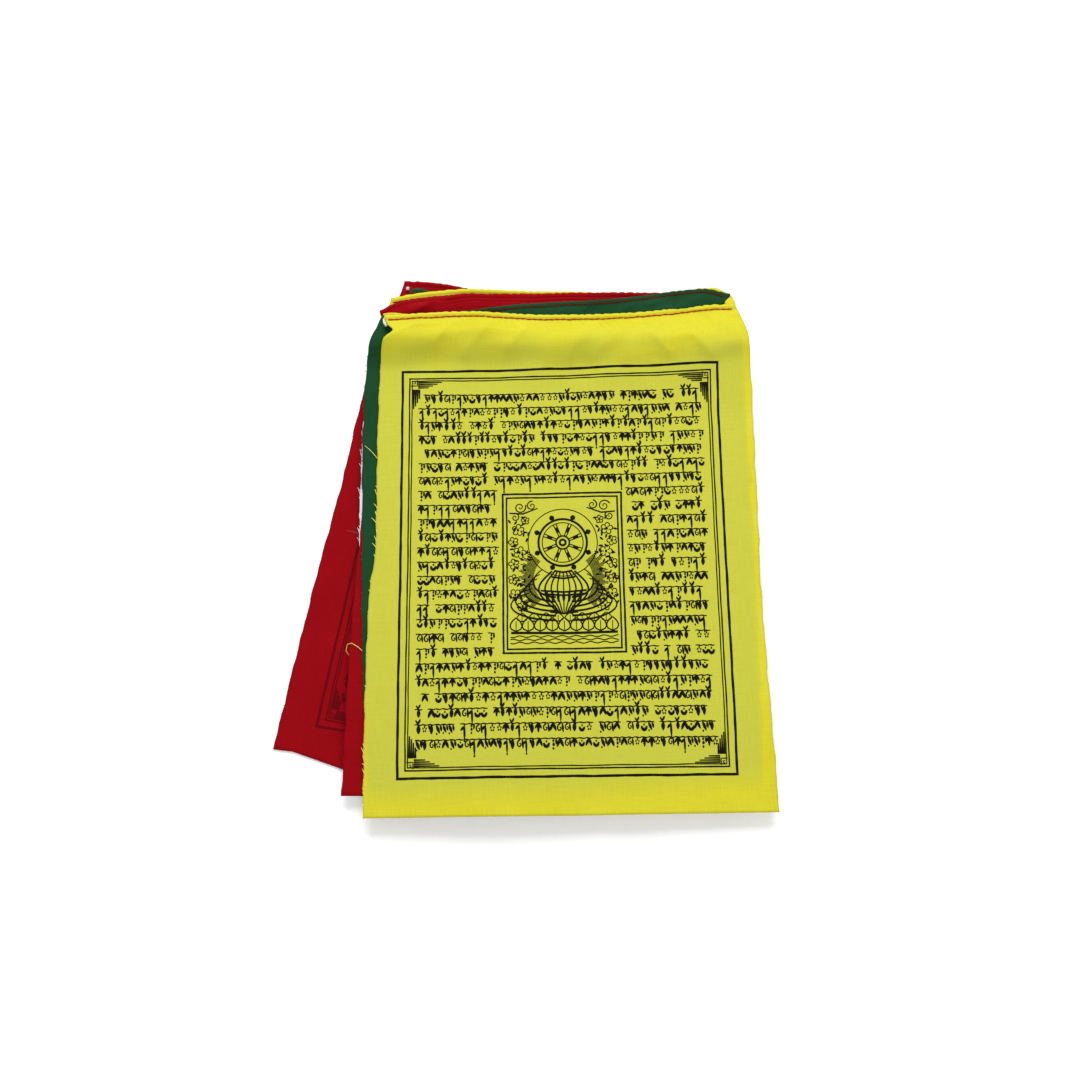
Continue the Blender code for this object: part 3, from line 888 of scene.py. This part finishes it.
def picture(seed):
    """An eight-spoked wheel with a halo on a fluted vase over lotus petals, with rays, flowering vines
    beside it, scrolls of cloud above and ripples below. x and y start at the middle of the picture."""
    chance = np.random.default_rng(seed)
    parts = [circle(0, 15.5, 17.6, 0.35), circle(0, 15.5, 12.3, 0.8), circle(0, 15.5, 10.4, 0.35),
             circle(0, 15.5, 3.4, 0.6), circle(0, 15.5, 1.5, 0.8)]
    add = parts.append
    for turn in np.radians(np.arange(8) * 45 + 22.5):
        ahead = np.array((math.cos(turn), math.sin(turn)))
        aside = np.array((-ahead[1], ahead[0]))
        middle = np.array((0, 15.5))
        for side in (-0.5, 0.5):
            start, end = middle + ahead * 3.5 + aside * side, middle + ahead * 10.3 + aside * side * 1.5
            add(strokes(((*start, 0.4), (*end, 0.4))))
        add(leaf(*(middle + ahead * 5.6), *(ahead * 3.0), 1.2))
        add(leaf(*(middle + ahead * 12.6), *(ahead * 2.8), 1.9))
    share = np.linspace(0, 1, 13)
    for flute in np.linspace(-1, 1, 9):
        swell = 3.0 + 9.5 * np.sin(math.pi * np.clip(share * 0.82 + 0.14, 0, 1)) ** 1.5
        add(in_sevens(flute * swell, 0.6 - 21.5 * share, 0.42 + 0.25 * abs(flute)))
    for level, half in ((0.8, 4.6), (-2.4, 6.0), (-9.5, 11.6), (-11.2, 11.9), (-20.6, 7.0)):
        add(strokes(((-half, level, 0.7), (0, level - 0.9, 0.7), (half, level, 0.7))))
    for x in np.linspace(-8.4, 8.4, 7):
        add(leaf(x, -10.0 + 0.2 * abs(x) * 0.3, 0, -5.6, 1.1))
    for side in (-1, 1):
        for number in range(6):
            out = 11 + 2.3 * number
            angle = np.linspace(0.2, 1.0, 13) * math.pi
            add(in_sevens(side * (4 + out * np.sin(angle)),
                          3.0 - 4 * number * 0.6 - 16 * (1 - np.cos(angle)) / 2, 0.55 - 0.2 * np.cos(angle)))
        turn = np.radians(np.linspace(-42, 40, 46))
        near, far = 15.0, 21.5 + 1.6 * np.sin(np.arange(46) * 1.3)
        start, end = (columns(side * out * np.cos(turn), -4 + out * np.sin(turn), width)
                      for out, width in ((near, 0.22), (far, 0.34)))
        mixed = np.linspace(0, 1, 7)[None, :, None]
        add(start[:, None] * (1 - mixed) + end[:, None] * mixed)
        for x, y, size, turns, first, flip in ((21.5, 34.5, 3.2, 1.6, 0.4, 1),
                                               (15.5, 35.2, 2.6, 1.5, 1.4, -1),
                                               (24.0, 29.2, 2.4, 1.5, 2.2, 1)):
            add(spiral(side * x, y, size, turns, first, 0.5, flip * side))
        add(strokes(((side * 27, 31.5, 0.5), (side * 20, 31.0, 0.6), (side * 12.5, 33.8, 0.4))))
        for x, y, size, first in ((22.6, 22.5, 1.9, 10), (25.0, 16.2, 1.6, 40), (21.9, 10.6, 2.0, 0),
                                  (24.8, 4.6, 1.7, 30), (25.2, -3.4, 1.6, 5), (24.3, -11.5, 1.9, 50),
                                  (20.6, -17.6, 1.7, 15), (18.9, 27.4, 1.3, 25)):
            add(blossom(side * x, y, size, first))
        for _ in range(48):
            x, y = side * chance.uniform(17.5, 26.5), chance.uniform(-21, 29)
            turn = chance.uniform(0, TURN)
            add(leaf(x, y, 2.4 * math.cos(turn), 2.4 * math.sin(turn), 0.75))
    for x in np.linspace(-24, 24, 9):
        add(petal(x, -30.5, 5.9, 7.0, 0.5))
    for x in np.linspace(-21, 21, 8):
        add(petal(x, -25.5, 5.2, 4.4, 0.4))
    add(strokes(((-26.5, -31.2, 0.9), (0, -31.6, 0.9), (26.5, -31.2, 0.9))))
    for level in (-33.2, -34.8, -36.4):
        at = np.linspace(-26.8, 26.8, 37)
        add(in_sevens(at, level + 0.45 * np.sin(at * 0.9 + level * 2), 0.4))
    drawn = np.concatenate(parts)
    drawn[..., 2] *= 1.45
    left, top, right, bottom = PICTURE
    drawn[..., 0] += (left + right) / 2
    drawn[..., 1] -= (top + bottom) / 2
    frame_lines = np.concatenate((box_lines(left, top, right, bottom, 1.0, 7),
                                  box_lines(left + 2.0, top + 2.0, right - 2.0, bottom - 2.0, 0.85, 7)))
    return np.concatenate((drawn, frame_lines))


def add_print(name, cloth, corners, look, drawn, side, flip=False):
    """Lays drawn ribbons on a cloth: the panel is stretched evenly between the places of its upper left,
    upper right, lower right and lower left, and follows the cloth's folds."""
    quads = ribbons(drawn[..., :2], drawn[..., 2])
    u = quads[..., 0] / PANEL[0]
    v = -quads[..., 1] / PANEL[1]
    if flip:
        u = 1 - u
    a, b, c, d = (np.array(corner, float) for corner in corners)
    u, v = u[..., None], v[..., None]
    spot = (1 - v) * ((1 - u) * a + u * b) + v * ((1 - u) * d + u * c)
    share, down = cloth.find(spot[..., 0], spot[..., 1])
    points = cloth.at(share, down)
    points[..., :2] = spot
    points[..., 2] += side * (CLOTH / 2 + INK_LIFT)
    count, length = quads.shape[:2]
    index = np.arange(count * length * 2).reshape(count, length, 2)
    faces = columns(index[:, :-1, 0], index[:, :-1, 1], index[:, 1:, 1], index[:, 1:, 0]).reshape(-1, 4)
    if (side > 0) == flip:
        faces = faces[:, ::-1]
    return add_mesh(name, points, faces, look, smooth=False)


panel = np.concatenate((border(), printed_rows(7), picture(11)))
FACE_PANEL = ((-83.8, 103.4), (81.0, 107.5), (84.0, -104.4), (-80.7, -106.9))
BACK_PANEL = ((-83.7, 126.4), (78.8, 98.5), (39.8, -108.3), (-122.7, -80.1))
face_print = add_print("face_print", cloths["flag_1_yellow"], FACE_PANEL, LOOKS["ink"], panel, 1)
back_print = add_print("back_print", cloths["flag_8_red"], BACK_PANEL, LOOKS["ink"], panel, -1, flip=True)
shadow_print = add_print("print_through", cloths["flag_8_red"], BACK_PANEL, LOOKS["red_ink"],
                         np.concatenate((border(), printed_rows(7))), 1)


# The cord


def cord_route():
    """The cord's middle line: through each heading in turn, with half an ellipse between them."""
    names = list(FLAGS)
    route = None
    for number, name in enumerate(names):
        cloth = cloths[name]
        line = columns(cloth.cord_x, cloth.cord_y, cloth.cord_z)
        first, last = cloth.cord_x[0] + TUCK, cloth.cord_x[-1] - TUCK
        inner = (cloth.cord_x > first) & (cloth.cord_x < last)
        inner[0] = inner[0] or number in (0, len(names) - 1)
        line = line[inner]
        run = line if number % 2 == 0 else line[::-1]
        if route is None:
            route = run
            continue
        outward = 1 if number % 2 else -1
        angle = np.radians(np.linspace(0, 180, 22))[1:-1]
        middle, half = (route[-1] + run[0]) / 2, (run[0] - route[-1]) / 2
        bend = middle - np.cos(angle)[:, None] * half
        bend[:, 0] += outward * TURN_REACH * np.sin(angle)
        bend[:, 2] -= TURN_SINK * np.sin(angle)
        route = np.concatenate((route, bend, run))
    end = route[-1] + np.array(((0.1, -0.6, 0), (0.0, -1.6, -0.2), (0.5, -2.7, -0.5), (1.3, -3.8, -0.8)))
    start = np.array(((-82.9, 153.9, 4.9), (-82.8, 154.9, 4.7), (-82.7, 155.5, 2.2), (-82.4, 156.4, 0.8)))
    whole = np.concatenate((start, route[2:], end))
    whole[:, 2] = np.maximum(whole[:, 2], CORD_RADIUS)
    return whole


def even(path, step):
    """The same path with its points an even step apart."""
    gaps = np.linalg.norm(np.diff(path, axis=0), axis=1)
    along = np.concatenate(((0.0,), np.cumsum(gaps)))
    at = np.linspace(0, along[-1], int(along[-1] / step) + 1)
    return np.stack([np.interp(at, along, path[:, axis]) for axis in range(3)], -1), at


def add_cord():
    """A cord of three strands: each strand circles the middle line once in every lay length."""
    line, at = even(cord_route(), 0.9)
    tangent = np.gradient(line, axis=0)
    tangent /= np.linalg.norm(tangent, axis=1, keepdims=True)
    side = np.cross(tangent, (0, 0, 1.0))
    side /= np.linalg.norm(side, axis=1, keepdims=True) + 1e-9
    other = np.cross(tangent, side)
    strands = []
    for start in (0, 1 / 3, 2 / 3):
        turn = TURN * (at / LAY + start)
        strands.append(line + STRAND_OUT * (np.cos(turn)[:, None] * side + np.sin(turn)[:, None] * other))
    return add_tubes("cord_strands", np.stack(strands), STRAND, 6, LOOKS["cord"])


cord = add_cord()


# Stitches, loose threads and the hem's end


def stitches(cloth, side):
    """Lock stitches along the seam: each is a short arch of thread whose ends sink into the cloth."""
    chance = np.random.default_rng(cloth.seed + 60)
    width = cloth.cord_x[-1] - cloth.cord_x[0]
    starts = np.arange(1.5, width - 3.5, STITCH)
    starts = starts + chance.uniform(-0.12, 0.12, len(starts))
    bend = np.linspace(0, 1, 6)
    at = (starts[:, None] + STITCH * bend) / width
    slant = chance.uniform(-0.16, 0.16, (len(starts), 2))
    down = cloth.seam_at + 0.12 * wander(starts, 31, cloth.seed)[:, None]
    down = down + slant[:, :1] + (slant[:, 1:] - slant[:, :1]) * bend
    path = cloth.at(at, down)
    arch = 0.30 * np.sin(math.pi * bend) ** 0.6 + 0.02
    path[..., 2] += CLOTH / 2 + arch if side > 0 else -(CLOTH * 1.5 + 0.12 + arch)
    return path


def frays(cloth, edge, spans, seed):
    """Loose ends of the weave along a cut side, from rows of (first mm down, last mm down, spacing, length,
    lean up the edge in degrees). A thread leaves the edge, bends and droops a little."""
    chance = np.random.default_rng(seed)
    paths = []
    bend = np.linspace(0, 1, 6)
    outward = -1 if edge == 0 else 1
    for first, last, spacing, length, lean in spans:
        count = int((last - first) / spacing)
        down = first + spacing * (np.arange(count) + chance.uniform(-0.35, 0.35, count))
        start = cloth.at(np.full(count, float(edge)), down)
        size = length * chance.uniform(0.55, 1.25, count)[:, None]
        angle = np.radians(lean + chance.uniform(-9, 9, count))[:, None]
        hook = np.radians(chance.uniform(-12, 14, count))[:, None]
        turn = angle + hook * bend
        x = start[:, :1] + outward * (size * bend * np.cos(turn) - 0.4)
        y = start[:, 1:2] + size * bend * np.sin(turn)
        z = start[:, 2:] + 0.10 + 0.25 * np.sin(math.pi * bend) - 0.25 * bend
        paths.append(columns(x, y, z))
    return np.concatenate(paths)


def loose(points):
    """One long loose thread as a smooth path of six points through a few places."""
    points = np.array(points, float)
    return through(np.linspace(0, 1, len(points)), points, np.linspace(0, 1, 6))[None]


def add_threads(name, paths, radius, look):
    return add_tubes(name, np.concatenate(paths), radius * np.array((1, 1, 1, 0.95, 0.85, 0.6)), 4, look)


SEAM_COLOURS = {"flag_3_red": "red_fray", "flag_2_green": "dark_thread"}
seams = {}
for name, cloth in cloths.items():
    runs = [stitches(cloth, -1 if name in ("flag_8_red", "flag_3_red") else 1)]
    seams[name] = add_threads(name + "_seam", runs, 0.33, LOOKS[SEAM_COLOURS.get(name, "red_thread")])

FRAYS = {
    "flag_1_yellow": ("yellow_thread", [
        (0, ((93, 139, 4.7, 3.2, 63), (139, 225, 11, 1.2, 50), (225, 256, 3.4, 2.4, 64),
             (30, 84, 10, 1.1, 55))),
        (1, ((20, 250, 7.5, 0.9, 20),))]),
    "flag_2_green": ("green_thread", [
        (0, ((20, 120, 5.5, 1.4, -40), (120, 250, 8, 1.0, -30))), (1, ((200, 255, 9, 0.9, 10),))]),
    "flag_3_red": ("red_fray", [(0, ((120, 256, 6, 1.2, 20),))]),
    "flag_4_white": ("white_thread", [
        (0, ((52, 126, 4.0, 3.0, 70), (62, 128, 11, 4.6, 68), (126, 168, 12, 2.6, 74),
             (236, 256, 4, 2.6, 60)))]),
    "flag_8_red": ("red_fray", [(0, ((60, 250, 7, 0.9, 25),))]),
}
LONG_THREADS = {
    "flag_1_yellow": [
        ((-94.7, 55.7, 10.6), (-98.0, 59.6, 10.9), (-101.9, 63.4, 10.3)),
        ((-94.0, 104.5, 10.8), (-95.2, 107.3, 11.0), (-95.8, 108.9, 10.8)),
        ((-97.0, -46.0, 10.4), (-102.6, -41.0, 10.2), (-106.4, -39.2, 8.2), (-108.2, -42.4, 6.6),
         (-106.2, -45.6, 6.2)),
    ],
    "flag_2_green": [((-104.0, 16.8, 9.0), (-107.2, 18.1, 8.0), (-109.8, 18.5, 7.6))],
}
threads = {}
for name, (look, sides) in FRAYS.items():
    runs = [frays(cloths[name], edge, spans, 80 + cloths[name].seed + edge) for edge, spans in sides]
    runs += [loose(points) for points in LONG_THREADS.get(name, [])]
    radius = 0.11 if look == "white_thread" else 0.15
    threads[name] = add_threads(name + "_threads", runs, radius, LOOKS[look])


def add_hem_end(name, path, look, flat):
    """A hem's free end: cloth rolled round the cord, as a flattened tube that puckers a little along a
    smooth path of (x, y, z, half width)."""
    path = np.array(path, float)
    at = np.linspace(0, 1, 60)
    line = through(np.linspace(0, 1, len(path)), path, at)
    size = line[:, 3] * (1 + 0.07 * wander(at * 30, 4.3, 9)) * (0.75 + 0.25 * np.sin(math.pi * at) ** 0.4)
    made = add_tubes(name, line[None, :, :3], size[None], 14, look, flat)
    add_uv(made, vertex_places(made)[:, :2])
    return made


top_wrap = add_hem_end("heading_turn", (
    (88.9, 137.4, 15.6, 2.6), (88.7, 139.6, 15.2, 3.0), (88.3, 142.2, 14.2, 3.1), (87.2, 145.0, 13.0, 2.6),
    (84.8, 147.8, 12.2, 1.9), (80.5, 149.9, 11.9, 1.6), (74.0, 149.8, 11.8, 1.5), (66.0, 148.3, 11.6, 1.5),
    (58.0, 146.9, 11.5, 1.4)), LOOKS["yellow"], 0.62)
low_strip = add_hem_end("heading_tail", (
    (-94.2, 134.6, 14.4, 0.9), (-90.0, 134.7, 14.6, 1.1), (-85.0, 134.4, 14.4, 1.1),
    (-80.0, 133.2, 13.6, 0.9)), LOOKS["yellow"], 0.8)


# The camera, the lights and the floor


def add_camera():
    """The photograph's view: a long lens 75 degrees above the table."""
    data = bpy.data.cameras.new("camera")
    data.sensor_width = 36
    data.lens = FOCAL_PX / IMAGE_PX * data.sensor_width
    data.clip_start = 0.01
    made = bpy.data.objects.new("camera", data)
    made.location = (-0.01165, -0.1547, 0.6361)
    made.rotation_euler = (math.radians(15), 0, 0)
    scene.collection.objects.link(made)
    scene.camera = made


def add_light(name, place, size, power):
    """A square soft light that points at the origin."""
    data = bpy.data.lights.new(name, "AREA")
    data.size = size
    data.energy = power
    made = bpy.data.objects.new(name, data)
    made.location = place
    x, y, z = place
    made.rotation_euler = (math.atan2(math.hypot(x, y), z), 0, math.atan2(x, -y))
    scene.collection.objects.link(made)


def add_floor():
    """A white sheet of card, 2.4 m each way, just below the lowest cloth."""
    corners = np.array(((-1200, 1200, 0), (-1200, -1200, 0), (1200, -1200, 0), (1200, 1200, 0)), float)
    card = Shader("white_card", 0.9, specular=0.1)
    grain = card.noise(card.place(), 700, 3.0)
    card.set("Base Color", card.mix(grain, (250, 250, 250), (246, 246, 246)))
    made = add_mesh("floor", corners, np.array(((0, 1, 2, 3),)), card.material, smooth=False)


def add_sky():
    """Even white light from all round, and plain display colours."""
    world = bpy.data.worlds.new("studio")
    world.use_nodes = True
    background = world.node_tree.nodes["Background"]
    background.inputs[0].default_value = (1, 1, 1, 1)
    background.inputs[1].default_value = 0.50
    scene.world = world
    scene.view_settings.view_transform = "Standard"


add_camera()
add_light("window", (0.0, 0.80, 0.85), 0.75, 14.5)
add_light("fill", (0.0, -0.9, 1.1), 1.0, 9.5)
add_floor()
add_sky()


# How the pieces belong to the frame

for name, piece in pieces.items():
    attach(piece, BODY)
    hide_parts(name)
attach(cord, BODY)
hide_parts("cord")

trim = {name: [seams[name]] + ([threads[name]] if name in threads else []) for name in FLAGS}
trim["flag_1_yellow"] += [face_print, top_wrap, low_strip]
trim["flag_8_red"] += [back_print, shadow_print]
for name, parts in trim.items():
    for piece in parts:
        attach(piece, BODY)
